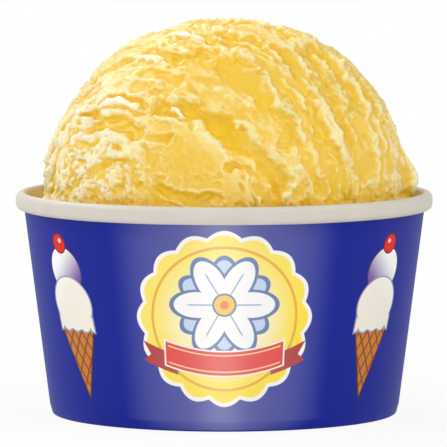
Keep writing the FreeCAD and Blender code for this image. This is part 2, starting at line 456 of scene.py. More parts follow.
def base_corners():
    """Middle of the base's board, from near the cup's axis out and down along the skirt."""
    inset = WALL_BOARD + GLUE_GAP + BASE_BOARD / 2
    middle = BASE_HEIGHT - BASE_BOARD / 2
    return [
        (BASE_EYE, middle, 0),
        (cone_radius(middle, inset), middle, BASE_BEND),
        (cone_radius(SKIRT_LOW, inset), SKIRT_LOW, 0),
    ]


def lap(angle, height):
    """How far the lap of the wall stands proud: a step at its edge that fades along the overlap."""
    past = (angle - SEAM_ANGLE + 180) % 360 - 180
    arc = np.radians(past) * FOOT_RADIUS
    along = np.clip(1 - arc / SEAM_WIDTH, 0, 1) * (arc > 0)
    from_toe = smooth(height, TOE_HEIGHT, TOE_HEIGHT + SEAM_TOE_FADE)
    from_shoulder = smooth(-height, -SHOULDER, -SHOULDER + SEAM_SHOULDER_FADE)
    return SEAM_PROUD * along * (from_toe * from_shoulder)


def turned(outline, side, shaped):
    """Points and faces of an outline turned round the cup's axis, and whether each face is outside.

    What shaped gives for an angle, a radius, a height and its being outside is the point's radius and
    height."""
    count = len(outline)
    angle = np.linspace(-180, 180, AROUND, endpoint=False)
    radius = outline[:, 0][None, :] + np.zeros((AROUND, 1))
    height = outline[:, 1][None, :] + np.zeros((AROUND, 1))
    radius, height = shaped(angle[:, None] + 0 * radius, radius, height, side[None, :] == 1)
    way = direction(angle, 0)
    points = np.stack([way[:, 0, None] * radius, way[:, 1, None] * radius, height], axis=-1)
    faces = []
    slots = []
    for i in range(AROUND):
        j = (i + 1) % AROUND
        for k in range(count):
            m = (k + 1) % count
            faces.append((i * count + k, j * count + k, j * count + m, i * count + m))
            slots.append(int(side[k] == 1 and side[m] == 1))
    return points.reshape(-1, 3), faces, slots


def waves(turn, table):
    """What the waves of a table add up to at a turn round the cup, in radians."""
    return sum(size * np.sin(count * turn + start) for count, start, size in table)


def hand_made(angle, radius, height, outside):
    """The wall with its lap, and with the slight waver that a rolled bead has."""
    turn = np.radians(angle)
    bead = smooth(height, SHOULDER + WAVER_LOW, SHOULDER + WAVER_FULL)
    radius = radius + bead * waves(turn, BEAD_SIDEWAYS)
    height = height + bead * waves(turn, BEAD_UPWARD)
    not_hem = radius > FOOT_RADIUS - HEM_MARGIN
    radius = radius + np.where(outside & not_hem, lap(angle, height), 0)
    return radius, np.minimum(height, CUP_HEIGHT)


def plain(angle, radius, height, outside):
    """The base, just as it is turned."""
    return radius, height


# ---------------------------------------------------------------- the ball's relief

# Drag marks, as arcs round the roll axis: tilt from the axis at both ends, the turn that they span from
# 0 over the top to 90 at the foot in front, half width and rise
FRONT_MARKS = (
    (44, 62, 24, 80, 3.0, -1.7),
    (50, 67, 34, 84, 1.6, 0.7),
    (69, 69, 28, 64, 3.6, -1.6),
    (75, 72, 22, 72, 1.8, 0.8),
    (87, 80, 38, 72, 2.0, -1.1),
    (92, 85, 34, 78, 1.4, 0.7),
    (97, 91, 34, 72, 2.6, -1.4),
    (101, 95, 38, 80, 1.3, 0.8),
    (106, 98, 34, 78, 2.6, -1.5),
    (110, 105, 40, 82, 1.4, 0.8),
    (116, 112, 42, 80, 2.2, -1.2),
    (31, 31, -10, 21, 2.4, -1.6),
    (41, 42, -10, 12, 1.3, -1.0),
    (61, 61, -4, 13, 1.8, -1.1),
    (72, 76, 0, 20, 2.4, -1.3),
    (52, 54, 4, 22, 1.5, -0.9),
    (26, 40, 66, 80, 2.4, -1.2),
)
SMALL_MARKS = (
    (35, 36, -24, -10, 1.7, -1.0),
    (32, 36, 30, 41, 1.3, -0.9),
    (47, 49, 14, 22, 1.3, -0.8),
    (54, 57, -16, -10, 1.8, -1.0),
    (67, 70, 15, 28, 2.0, -1.1),
    (82, 84, -2, 3, 1.4, -0.8),
    (16, 20, 10, 32, 1.1, -0.8),
    (15, 21, 52, 53, 1.1, -0.7),
    (79, 84, 38, 45, 1.4, -0.9),
    (88, 88, 29, 37, 1.6, -1.0),
    (92, 92, 58, 66, 2.0, -1.2),
    (92, 94, 68, 82, 2.3, -1.5),
    (108, 106, 62, 78, 1.6, -1.2),
    (112, 112, 48, 62, 1.8, -1.2),
    (117, 122, 80, 90, 1.6, -1.0),
    (49, 57, 67, 78, 1.2, -0.8),
    (72, 76, 66, 84, 1.5, -0.9),
    (78, 80, 70, 84, 1.3, -0.8),
    (58, 64, 28, 36, 1.4, -0.6),
    (80, 84, 12, 26, 1.8, -1.0),
    (88, 92, -8, 12, 1.6, -0.9),
    (98, 96, 4, 24, 1.8, -1.0),
    (106, 110, -8, 16, 1.8, -1.0),
    (118, 116, 6, 34, 1.8, -0.9),
)
# Thin lips of torn ice cream, with the same six numbers
LIPS = (
    (88, 78, 40, 62, 0.55, 0.9),
    (78, 75, 58, 74, 0.5, 0.8),
    (86, 85, 58, 76, 0.6, 0.9),
    (105, 100, 48, 66, 0.5, 0.9),
    (100, 100, 66, 85, 0.55, 0.9),
    (118, 114, 62, 80, 0.5, 0.8),
    (24, 28, 4, 40, 0.7, 0.9),
    (28, 28, 42, 56, 0.45, 0.7),
    (66, 66, 30, 50, 0.5, 0.6),
    (38, 42, -12, 14, 0.6, 0.7),
)
# Faces that the scoop polished, where the finish also paints a pale glint, with the first five numbers
SHINE = (
    (40, 40, -7, 13, 1.0),
    (59, 59, -8, 6, 0.8),
    (73, 73, -4, 8, 0.8),
    (45, 44, 30, 36, 0.7),
    (120, 118, -34, -26, 0.8),
)
# The far side has the same kinds of mark in zones at an even spacing, with uneven lengths: first and
# last tilt, how many, and the turn that they span
FAR_ZONES = (
    (28, 150, 12, -86, -8),
    (126, 166, 4, 6, 86),
)
FAR_HALF_WIDTH = 2.3
FAR_DEPTH = 1.25
FAR_RIDGE = (1.5, 0.6)  # half width and rise
FAR_RIDGE_EVERY = 3  # marks from one ridge to the next
FAR_UNEVEN_START = 26.0
FAR_UNEVEN_END = 34.0
FAR_DRIFT = 8.0
FAR_POLE = (168.0, 177.0)  # tilts between which the relief dies away towards the far end of the axis
GOLDEN_SHARE = 0.618
# In half widths from the middle of a mark: the side of a hollow, the lip along it, a ridge's width, the
# edge of a polished face, where a mark and a thin lip end, and how ragged their edges are
HOLLOW_SIDE = (0.2, 1.2)
LIP_PLACE = 1.3
LIP_WIDTH = 0.26
RIDGE_WIDTH = 0.65
POLISH_EDGE = (0.6, 1.3)
MARK_END = 3
THIN_LIP_END = 5
MARK_RAGGED = 2
THIN_LIP_RAGGED = 3
LIP_SHARE = 0.4  # a lip's rise as a share of its hollow's depth
THIN_LIP_SHARE = 0.7  # and as a share of the rise in the table of thin lips
# Tears between the marks: size, how far they are drawn out along the roll, depth and seed
TEARS = (
    (4.2, 3.0, 0.8, 51),
    (2.1, 2.6, 0.45, 53),
)
TEAR_SIDE = (0.22, 0.46)  # values of its noise between which a tear goes from nothing to full depth
TEAR_LIP = (0.15, 0.07)  # value of its noise at its lip, and the lip's width
# Frosty stretches, their paleness on the ball's left also painted light: direction of the middle,
# cosines of the angles from it where the paleness starts and where it is full, and how full
FROST_AND_PAINTED_LIGHT = (
    (-64.0, 12.0, 0.74, 0.95, 1.0),
    (72.0, 10.0, 0.95, 0.995, 0.55),
)
# Swells of the whole ball: angle, height angle, radius and rise
SWELLS = (
    (84, 5, 5.0, 2.2),
    (90, 14, 6.0, -0.9),
    (-68, 14, 13.0, 0.8),
    (-20, 66, 10.0, 0.5),
    (18, 8, 10.0, 0.5),
    (150, 10, 8.0, 0.8),
    (-130, 22, 11.0, 0.7),
    (-92, 54, 11.0, 0.8),
    (-84, 35, 6.0, -1.0),
    (84, 62, 13.0, 0.9),
    (-100, 78, 8.0, 0.5),
)
# Stretches that the scoop left smooth: angle, height angle and radius
CALM = (
    (-15, 11, 12.0),
    (-1, 41, 6.0),
    (-52, 40, 6.0),
    (24, 14, 6.0),
    (120, 40, 12.0),
    (-150, 35, 12.0),
)
# Shares of the ball's radius by which noise bends the marks and frays their edges
SWAY_SHARE = 0.042
FRAY_SHARE = 0.008
# The finest layers of the relief
DRAG_LINE_STRETCH = 6.0  # how many times as long as wide its lines are
DRAG_LINE_RISE = 0.15
CRYSTAL_RISE = 0.35
GRIT_RISE = 0.8
PIT_DEPTH = 0.4
FINE_GRIT_RISE = 0.16
GRAIN_RISE = 0.05
POLISHED_RISE = 0.5
FOOT_FADE = 6.0  # degrees over which the relief grows from nothing at the ball's foot
SKIN_SINK = 1.1  # how far the plain skin lies under the ball, so that its crests come up to it
SHARPEST = 0.28  # how far a point may stand out from its neighbours' average
# Times that the rise is evened out for its near and its wide surroundings
NEAR_PASSES = 12
WIDE_PASSES = 160


def far_marks():
    """The far side's marks, in the same six numbers."""
    marks = []
    for tilt_low, tilt_high, count, turn_low, turn_high in FAR_ZONES:
        spacing = (tilt_high - tilt_low) / (count - 1)
        for k in range(count):
            share = (k * GOLDEN_SHARE) % 1
            tilt = tilt_low + k * spacing
            drifted = tilt + FAR_DRIFT * (share - 0.5)
            first = turn_low + FAR_UNEVEN_START * ((share * 5) % 1)
            last = turn_high - FAR_UNEVEN_END * ((share * 3) % 1)
            width = FAR_HALF_WIDTH * (0.6 + 0.9 * share)
            marks.append((tilt, drifted, first, last, width, -FAR_DEPTH * (0.7 + 0.6 * share)))
            if k % FAR_RIDGE_EVERY == 0:
                between = tilt + spacing / 2
                marks.append((between, between, first, last, *FAR_RIDGE))
    return marks


def unit(ways):
    """Ways with a length of 1."""
    return ways / np.linalg.norm(ways, axis=1, keepdims=True)


def roll_angles(ways):
    """Tilt from the roll axis and turn round it, in degrees."""
    axis = direction(*ROLL_AXIS)
    front = np.cross((0, 0, 1), axis)
    front /= np.linalg.norm(front)
    top = np.cross(axis, front)
    tilt = np.degrees(np.arccos(np.clip(ways @ axis, -1, 1)))
    return tilt, np.degrees(np.arctan2(ways @ front, ways @ top))


def drawn_out(tilt, turn, stretch):
    """Places for noise that runs stretch times as long along the roll as across it."""
    ring = np.sin(np.radians(tilt)) * BALL_RADIUS / stretch
    turn = np.radians(turn)
    return np.stack([tilt * DEGREE, np.cos(turn) * ring, np.sin(turn) * ring], axis=-1)


def near(ways, angle, height_angle, radius):
    """1 in the middle of a round patch of the ball, fading over its radius."""
    apart = np.degrees(np.arccos(np.clip(ways @ direction(angle, height_angle), -1, 1)))
    return np.exp(-((apart * DEGREE / radius) ** 2))


def band(value, middle, width):
    """1 where a value is the middle one, fading over the width to both sides."""
    return np.exp(-(((value - middle) / width) ** 2))


def mark_reach(tilt, turn, mark):
    """How many half widths away from a mark's line each point is."""
    tilt_a, tilt_b, turn_a, turn_b, width = mark[:5]
    share = (turn - turn_a) / (turn_b - turn_a)
    held = np.clip(share, 0, 1)
    across = (tilt - tilt_a - (tilt_b - tilt_a) * held) * DEGREE
    past = (share - held) * (turn_b - turn_a) * DEGREE * np.sin(np.radians(tilt))
    return np.sqrt(across**2 + past**2) / width


def drag_marks(tilt, turn, ragged):
    """Hollows that the scoop dragged, the torn lips along them, and the ridges between them.

    Ragged is the noise that makes their edges uneven."""
    hollow, lip, ridge = (np.zeros(len(tilt)) for _ in range(3))
    for mark in (*FRONT_MARKS, *SMALL_MARKS, *far_marks()):
        reach = mark_reach(tilt, turn, mark)
        close = reach < MARK_END
        side = reach[close] + ragged[close] * MARK_RAGGED
        rise = mark[5]
        if rise < 0:
            hollow[close] = np.minimum(hollow[close], rise * (1 - smooth(side, *HOLLOW_SIDE)))
            lip[close] = np.maximum(lip[close], -rise * LIP_SHARE * band(side, LIP_PLACE, LIP_WIDTH))
        else:
            ridge[close] = np.maximum(ridge[close], rise * band(side, 0, RIDGE_WIDTH))
    return hollow, lip, ridge


def add_tears(tilt, turn, lively, hollow, lip):
    """The hollows and lips with those of the tears between the marks.

    Lively is 1 on most of the skin, and 0 where the scoop left it smooth."""
    for size, stretch, depth, seed in TEARS:
        tear = rough(drawn_out(tilt, turn, stretch), size, 3, 0.55, seed=seed)
        gap = smooth(tear, *TEAR_SIDE) * lively
        hollow = hollow - depth * gap * (1 - 0.6 * np.clip(-hollow, 0, 1))
        lip = np.maximum(lip, 0.5 * depth * band(tear, *TEAR_LIP) * (0.3 + 0.7 * lively))
    return hollow, lip


def add_thin_lips(tilt, turn, ragged, lip):
    """The lips with the thin ones that stand by themselves."""
    for mark in LIPS:
        reach = mark_reach(tilt, turn, mark)
        close = reach < THIN_LIP_END
        side = reach[close] + ragged[close] * THIN_LIP_RAGGED
        lip[close] = np.maximum(lip[close], THIN_LIP_SHARE * mark[5] * band(side, 0, 1.0))
    return lip


def frosted_and_lit(ways):
    """How frosty the skin is at unit vectors, from 0 to 1; on the ball's left its paleness is also painted
    light.
    """
    frost_and_painted_light = np.zeros(len(ways))
    for angle, height_angle, edge, full, share in FROST_AND_PAINTED_LIGHT:
        frost_and_painted_light = np.maximum(frost_and_painted_light, share * smooth(ways @ direction(angle, height_angle), edge, full))
    return frost_and_painted_light


def polished(tilt, turn):
    """How much the scoop polished the skin, from 0 to 1; the finish paints a glint there too."""
    wet = np.zeros(len(tilt))
    for mark in SHINE:
        wet = np.maximum(wet, 1 - smooth(mark_reach(tilt, turn, mark), *POLISH_EDGE))
    return wet


def ball_relief(ways):
    """The skin's rise over the plain ball at unit vectors, and how torn, frosty and polished it is, the
    last two also placing painted light and glints.
    """
    skin = ways * BALL_RADIUS
    sway = np.stack([rough(skin, 8.0, 3, seed=k) for k in (3, 5, 9)], axis=-1)
    fray = np.stack([rough(skin, 1.8, 2, seed=k) for k in (13, 15, 19)], axis=-1)
    tilt, turn = roll_angles(unit(ways + sway * SWAY_SHARE + fray * FRAY_SHARE))
    ragged = 0.2 * rough(skin, 4.0, 4, 0.62, seed=43)
    lively = 1 - np.clip(sum(near(ways, *spot) for spot in CALM), 0, 1)

    # hollows vary in depth along their length, and lips stand up in patches where no hollow has cut
    hollow, lip, ridge = drag_marks(tilt, turn, ragged)
    hollow, lip = add_tears(tilt, turn, lively, hollow, lip)
    lip = add_thin_lips(tilt, turn, ragged, lip)
    fading = 0.9 + 0.6 * lumps(skin, 9.0, seed=39)
    patchy = smooth(rough(skin, 2.6, 3, seed=41), -0.25, 0.45)
    covered = 1 - np.clip(-hollow / 0.8, 0, 1)
    torn_edge = 0.55 + 0.75 * crests(skin, 1.1, 2, 0.6, seed=45)
    lip *= (0.1 + 0.95 * patchy) * (0.35 + 0.65 * covered) * torn_edge
    rise = hollow * fading + lip * 0.85 + ridge * covered * (0.2 + 0.5 * patchy)
    for angle, height_angle, radius, swell in SWELLS:
        rise += swell * near(ways, angle, height_angle, radius)

    # fine drag lines, and crystals along the crests
    drag_lines = rough(drawn_out(tilt, turn, DRAG_LINE_STRETCH), 2.4, 3, seed=61)
    rise += DRAG_LINE_RISE * drag_lines * (0.5 + 0.5 * lively)
    crisp = smooth(lip + ridge * covered, 0.1, 0.45)
    rise += CRYSTAL_RISE * crisp * (crests(skin, 0.95, 2, 0.6, seed=97) - 0.7)

    # torn and frosted stretches, with grit and pits
    frost_and_painted_light = frosted_and_lit(ways)
    ground = rough(skin, 7.0, 3, seed=71) + 0.9 * ridge + 1.0 * lip + 0.9 * hollow + 1.1 * frost_and_painted_light - 0.15
    torn = smooth(ground, 0.05, 0.55) * (0.25 + 0.75 * lively)
    grit = crests(skin + fray * 0.5, 1.9, 3, 0.6, seed=81)
    pits = smooth(lumps(skin + fray, 1.2, seed=87), 0.3, 0.6)
    fine_grit = rough(skin, 0.8, 2, seed=91)
    rise += torn * (GRIT_RISE * (grit - 0.6) - PIT_DEPTH * pits + FINE_GRIT_RISE * fine_grit)
    rise += GRAIN_RISE * rough(skin, 1.0, 2, seed=95)

    wet = polished(tilt, turn)
    rise += (POLISHED_RISE - rise) * wet
    torn *= 1 - wet
    rise *= 1 - smooth(tilt, *FAR_POLE)
    height_angle = np.degrees(np.arcsin(ways[:, 2]))
    rise = (rise - SKIN_SINK) * smooth(height_angle, FOOT_ANGLE, FOOT_ANGLE + FOOT_FADE)
    return rise, {"torn": torn, "frost_and_painted_light": np.clip(frost_and_painted_light * (0.5 + 0.7 * grit), 0, 1), "wet": wet}


def skin_ways():
    """Unit vectors of the skin's points, ring on ring from the ball's foot up, and each ring's count."""
    steps = round(math.radians(90 - FOOT_ANGLE) * BALL_RADIUS / (BALL_EDGE * BALL_ROW))
    ways = []
    counts = []
    for j in range(steps):
        height_angle = FOOT_ANGLE + (90 - FOOT_ANGLE) * j / steps
        around = 2 * math.pi * BALL_RADIUS * math.cos(math.radians(height_angle))
        count = max(6, round(around / BALL_EDGE))
        counts.append(count)
        angle = np.arange(count) * 360.0 / count - 180.0 + (j % 2) * 180.0 / count
        ways.append(direction(angle, np.full(count, height_angle)))
    ways.append(direction(np.array([0.0]), np.array([90.0])))
    return np.concatenate(ways), counts


def cream_faces(counts, fill_rings):
    """Triangles of the ball's skin, then of the filling's side and bottom, as one closed surface."""
    faces = []
    first = 0
    for lower, upper in zip(counts, counts[1:]):
        faces += stitch(first, lower, first + lower, upper)
        first += lower
    last = counts[-1]
    top = first + last
    faces += [(first + k, first + (k + 1) % last, top) for k in range(last)]
    foot = counts[0]
    start = top + 1
    rings = [start + k * foot for k in range(fill_rings)] + [0]
    for lower, upper in zip(rings, rings[1:]):
        faces += stitch(lower, foot, upper, foot)
    bottom = start + fill_rings * foot
    faces += [(bottom, start + (k + 1) % foot, start + k) for k in range(foot)]
    return faces


def facet_average(values, faces, passes):
    """Values evened out over their neighbours."""
    corners = faces.reshape(-1)
    size = len(values)
    share = np.bincount(corners, minlength=size)
    for _ in range(passes):
        middle = values[faces].mean(axis=1)
        values = np.bincount(corners, np.repeat(middle, 3), minlength=size) / np.maximum(share, 1)
    return values


def fill_section():
    """Radius and height of the filling's corners, from its bottom up to the ball's foot."""
    inset = WALL_BOARD + FILL_CLEARANCE
    low = BASE_HEIGHT + GLUE_GAP
    below_shoulder = SHOULDER - FILL_SHOULDER_GAP
    return [
        (cone_radius(low, inset) - FILL_CORNER, low),
        (cone_radius(low + FILL_CORNER, inset), low + FILL_CORNER),
        (cone_radius(below_shoulder, inset), below_shoulder),
        (cone_radius(SHOULDER, inset), FILL_LEVEL),
        (BALL_RADIUS + DIP_WIDTH, FILL_LEVEL - DIP_DEPTH),
    ]


def make_ice_cream(finish):
    """The filling and the ball as one closed mesh, with what its finish needs to know at each point."""
    ways, counts = skin_ways()
    rise, looks = ball_relief(ways)
    fill = fill_section()
    faces = cream_faces(counts, len(fill))
    facets = np.array(faces)
    ring = direction(np.arange(counts[0]) * 360.0 / counts[0] - 180.0, np.zeros(counts[0]))
    below = [ring * radius + (0, 0, height) for radius, height in fill]
    below.append(np.array([[0, 0, fill[0][1]]]))
    below = np.concatenate(below)

    field = np.concatenate([rise, np.zeros(len(below))])
    even = facet_average(field, facets, 1)
    field = even + np.clip(field - even, -SHARPEST, SHARPEST)
    radii = np.array([BALL_RADIUS, BALL_RADIUS, BALL_HEIGHT_RADIUS])
    skin = BALL_CENTRE + ways * (radii + field[: len(rise), None])
    piece = build("ice_cream_fill", np.concatenate([skin, below]), faces, [finish])

    close = facet_average(field, facets, NEAR_PASSES)
    wide = facet_average(field, facets, WIDE_PASSES)
    # how low each point lies against its surroundings, which the finish paints deeper yellow as painted
    # shade
    looks["hollow"] = np.clip(0.5 - (0.55 * (close - wide) + 0.9 * (field - close)), 0, 1)
    for name, values in looks.items():
        whole = np.zeros(len(field))
        whole[: len(values)] = values
        piece.data.attributes.new(name, "FLOAT", "POINT").data.foreach_set("value", whole)
    return piece


# Crumbs at the ball's foot: angle from the front and size of those at the front's left, then how many
# more lie scattered round it, and their sizes
FRONT_CRUMBS = ((-63, 0.9), (-57, 0.7), (-70, 0.65), (-50, 0.45), (-76, 0.55))
SCATTERED_CRUMBS = 22
SCATTERED_SIZES = (0.25, 0.6)
CRUMB_STRETCH = (0.7, 1.25)
# As shares of a crumb's size: the rise of its lumps, and how far out and up its middle is
CRUMB_LUMPS = 0.45
CRUMB_OUT = 0.7
CRUMB_UP = 0.6


def make_crumbs(finish):
    """Crumbs of ice cream along the ball's foot, as one mesh."""
    draw = np.random.default_rng(12)
    bpy.ops.mesh.primitive_ico_sphere_add(subdivisions=3, radius=1)
    seed_ball = bpy.context.object
    unit_ball = np.array([v.co for v in seed_ball.data.vertices])
    unit_faces = [tuple(p.vertices) for p in seed_ball.data.polygons]
    bpy.data.objects.remove(seed_ball)
    radii = np.array([BALL_RADIUS, BALL_RADIUS, BALL_HEIGHT_RADIUS])
    points = []
    faces = []
    spots = list(FRONT_CRUMBS)
    spots += [(draw.uniform(-180, 180), draw.uniform(*SCATTERED_SIZES)) for _ in range(SCATTERED_CRUMBS)]
    for k, (angle, size) in enumerate(spots):
        centre = BALL_CENTRE + direction(angle, FOOT_ANGLE + 1.0) * (radii + CRUMB_OUT * size)
        centre[2] = FILL_LEVEL + CRUMB_UP * size
        lumpy = 1 + CRUMB_LUMPS * rough(unit_ball * 3 + k * 7.0, 1.6, 3, seed=k)
        faces += [tuple(i + len(unit_ball) * k for i in face) for face in unit_faces]
        points.append(centre + unit_ball * lumpy[:, None] * size * draw.uniform(*CRUMB_STRETCH, 3))
    return build("ice_cream_crumbs", np.concatenate(points), faces, [finish])


# ---------------------------------------------------------------- finishes


# Colours of the ice cream from its crests to its hollows: its own yellow, deepened in the hollows as
# painted shade
VANILLA_AND_PAINTED_HOLLOW_SHADE = (
    (0.0, ink(251, 235, 174)),
    (0.27, ink(248, 219, 126)),
    (0.47, ink(243, 201, 72)),
    (0.75, ink(242, 200, 48)),
    (1.0, ink(242, 197, 24)),
)


def vanilla_finish():
    """Frozen vanilla: paler on crests and frosty stretches, deep yellow in the hollows as painted shade,
    painted light on the frosty left side and painted glints on polished faces and pale grains.
    """
    cream = Finish(bpy.data.materials.new("vanilla"))
    hollow, torn, frost_and_painted_light, wet = (cream.attribute(name) for name in ("hollow", "torn", "frost_and_painted_light", "wet"))
    mottle = cream.noise(1.4, 3.0, 0.6)
    # deeper yellow the lower the skin lies: painted shade in the hollows
    depth = hollow + (mottle - 0.5) * 0.18
    colour = cream.node("ValToRGB", {"stops": VANILLA_AND_PAINTED_HOLLOW_SHADE}, {0: depth})
    colour = cream.blend(torn * 0.12, colour, ink(250, 229, 165))
    raised = 1 - depth.rising(0.36, 0.66)
    # paler on frosty stretches, which on the ball's left is also painted light
    colour = cream.blend(frost_and_painted_light * raised * 0.8, colour, ink(255, 247, 214))
    # polished faces paled towards white: a painted glint
    colour = cream.blend(wet * 0.35, colour, ink(255, 250, 232))
    grain = cream.noise(0.55, 3.0, 0.65)
    fine = cream.noise(0.22, 2.0, 0.6, offset=40.0)
    # pale grains on the torn crust, partly painted glints
    specks_and_glints = grain.rising(0.56, 0.68) * (0.15 + 0.85 * torn) * (1 - depth.rising(0.5, 0.8))
    colour = cream.blend(specks_and_glints * 0.45, colour, ink(255, 250, 226))
    pores = (grain * (0.35 + 0.65 * torn) + fine * 0.25) * (1 - wet)
    skin = cream.surface(
        Base_Color=colour,
        Roughness=(0.24 + torn * 0.3 + mottle * 0.12) * (1 - wet * 0.5),
        Subsurface_Weight=0.35,
        Subsurface_Radius=(1.0, 0.85, 0.4),
        Subsurface_Scale=1.1 * MM,
        IOR=1.45,
        Normal=cream.bump(pores, 0.22),
    )
    return cream.close(skin)


def white_board_finish():
    """Coated white board, a little warm, with the faint mottle of its fibres."""
    board = Finish(bpy.data.materials.new("white_board"))
    fibre = board.noise(0.5, 4.0, 0.6)
    cloud = board.noise(5.0, 2.0)
    colour = board.blend(cloud * 0.6 + fibre * 0.4, ink(207, 200, 187), ink(221, 215, 203))
    coated = board.surface(
        Base_Color=colour,
        Roughness=0.42 + fibre * 0.15,
        Specular_IOR_Level=0.35,
        Normal=board.bump(fibre, 0.05),
    )
    return board.close(coated)


# Print, in millimetres along the wall from the middle of the front, and up from the table
PRINT_RADIUS = 40.0  # at which a turn round the cup becomes a length along it
# The board's cut edge at the lap: degrees past the seam, half width, and lowest height that it shows at
CUT_PAST_SEAM = 0.3
CUT_HALF_WIDTH = 0.13
CUT_LOW = 0.3
MEDALLION_HEIGHT = 24.2
MEDALLION_RADIUS = 16.6
SCALLOPS = 16
SCALLOP_RISE = 1.3
RING_RADIUS = 15.2
BLOSSOM_HEIGHT = 27.2
# Petals: half length, half width, how far their middles are from the heart, and turn
BACK_PETALS = (4.4, 2.5, 5.2, math.pi / 6)
FRONT_PETALS = (4.9, 2.75, 5.6, 0.0)
PETALS = 6
HEART_RADIUS = 2.1
RIBBON_HEIGHT = 14.6
RIBBON_CURVE = 0.014  # rise of its ends, for each square millimetre sideways
RIBBON_HALF_LENGTH = 12.6
RIBBON_HALF_WIDTH = 2.5
PIN_LINE = 1.75  # of the thin lines along the ribbon, from its middle
TAIL_PLACE = 14.0
TAIL_HALF_LENGTH = 4.0
TAIL_HALF_WIDTH = 2.1
TAIL_DROP = 1.7
TAIL_NOTCH = 16.0
CONE_PLACE = 36.0  # along the wall, from the middle of the front
CONE_HEIGHT = 22.4  # of the cone's mouth
CONE_LENGTH = 16.0
CONE_LEAN = 0.16
CONE_FLARE = 0.36
WAFFLE_SPACING = 2.6
WAFFLE_SLANT = 0.62
# Sideways and up from the middle of the cone's mouth, and radius
TOP_SCOOP = (0.0, 10.6, 4.9)
LOW_SCOOP = (0.0, 3.6, 6.0)
CHERRY = (0.4, 16.3, 1.9)
CHERRY_SHINE = (0.0, 16.9, 0.5)
SCOOP_SQUASH = 1.08  # how much wider than high the low scoop is
DRIP_SPACING = 3.0
DRIP_RADIUS = 1.6
DRIP_REACH = 5.6

CREAM_WHITE = ink(250, 246, 238)
LINE_BLUE = ink(78, 110, 166)
BRIGHT_RED = ink(226, 40, 26)


def print_finish():
    """The cup's print: royal blue with a scalloped medallion, a blossom, a ribbon and waffle cones."""
    sheet = Finish(bpy.data.materials.new("printed_board"))
    x, y, height = sheet.place()
    turn = angle_of(x, 0 - y)
    across = turn.wrapped(math.pi) * PRINT_RADIUS
    fibre = sheet.noise(0.45, 4.0, 0.6)
    colour = sheet.blend(fibre, ink(8, 26, 138), ink(16, 36, 150))
    colour = draw_medallion(sheet, colour, across, height)
    colour = draw_cone(sheet, colour, abs(across) - CONE_PLACE, height - CONE_HEIGHT)
    # the cut edge of the lap shows the white board
    past_cut = (turn - math.radians(SEAM_ANGLE + CUT_PAST_SEAM)) * FOOT_RADIUS
    on_wall = (height - SHOULDER).inside() * (CUT_LOW - height).inside()
    cut = (abs(past_cut) - CUT_HALF_WIDTH).inside() * on_wall
    colour = sheet.blend(cut, colour, ink(212, 209, 204))
    normal = sheet.bump(fibre, 0.02)
    satin = sheet.surface(
        Base_Color=colour,
        Roughness=0.44 + fibre * 0.08,
        Specular_IOR_Level=1.0,
        IOR=1.75,
        Anisotropic=0.9,
        Anisotropic_Rotation=0.25,
        Normal=normal,
    )
    matt = sheet.surface(Base_Color=colour, Roughness=0.55, Specular_IOR_Level=0.2, Normal=normal)
    facing = sheet.node("LayerWeight", None, {"Blend": 0.5}, out="Facing")
    return sheet.close(sheet.node("MixShader", None, {0: facing.rising(0.02, 0.22), 1: satin, 2: matt}))


def draw_medallion(sheet, colour, across, height):
    """A yellow scalloped medallion with a white blossom over a red ribbon."""
    up = height - MEDALLION_HEIGHT
    far = length(across, up)
    scallop = abs((angle_of(up, across) * (SCALLOPS / 2)).cosine())
    edge = far - MEDALLION_RADIUS - scallop * SCALLOP_RISE
    # the yellow is paler towards the upper left: a painted sheen
    painted_sheen_slope = (across * 0.6 - up * 0.8).rising(-14.0, 14.0)
    yellow = sheet.blend(painted_sheen_slope, ink(253, 229, 92), ink(255, 226, 26))
    field = sheet.blend(far.rising(6.0, 16.0), ink(255, 250, 214), yellow)
    colour = sheet.printed(colour, edge, CREAM_WHITE, field, 0.9)
    ring = (abs(far - RING_RADIUS) - 0.28).inside()
    colour = sheet.blend(ring, colour, ink(236, 170, 30))
    colour = draw_blossom(sheet, colour, across, height - BLOSSOM_HEIGHT)
    return draw_ribbon(sheet, colour, across, height - RIBBON_HEIGHT)


def petal_ring(across, up, reach, wide, middle, turn):
    """Distance outside a ring of round-ended petals, and each petal's own length and width ways."""
    far = length(across, up)
    folded = (angle_of(up, across) + turn).wrapped(2 * math.pi / PETALS)
    along = far * folded.cosine()
    aside = far * folded.sine()
    ring = length((along - middle) / reach, aside / wide)
    return (ring - 1) * wide, along, aside


def draw_blossom(sheet, colour, across, up):
    """Six white petals with a vein each, over six pale blue ones, round a yellow heart."""
    back, _, _ = petal_ring(across, up, *BACK_PETALS)
    front, along, aside = petal_ring(across, up, *FRONT_PETALS)
    colour = sheet.printed(colour, back, LINE_BLUE, ink(196, 213, 240), 0.55)
    colour = sheet.printed(colour, front, LINE_BLUE, ink(252, 252, 250), 0.55)
    vein = (abs(aside) - 0.16).inside() * (abs(along - 5.0) - 2.6).inside(0.5)
    colour = sheet.blend(vein * 0.7, colour, LINE_BLUE)
    heart = length(across, up) - HEART_RADIUS
    colour = sheet.printed(colour, heart, LINE_BLUE, ink(247, 190, 40), 0.4)
    return sheet.blend((heart + 1.2).inside(), colour, ink(222, 120, 32))


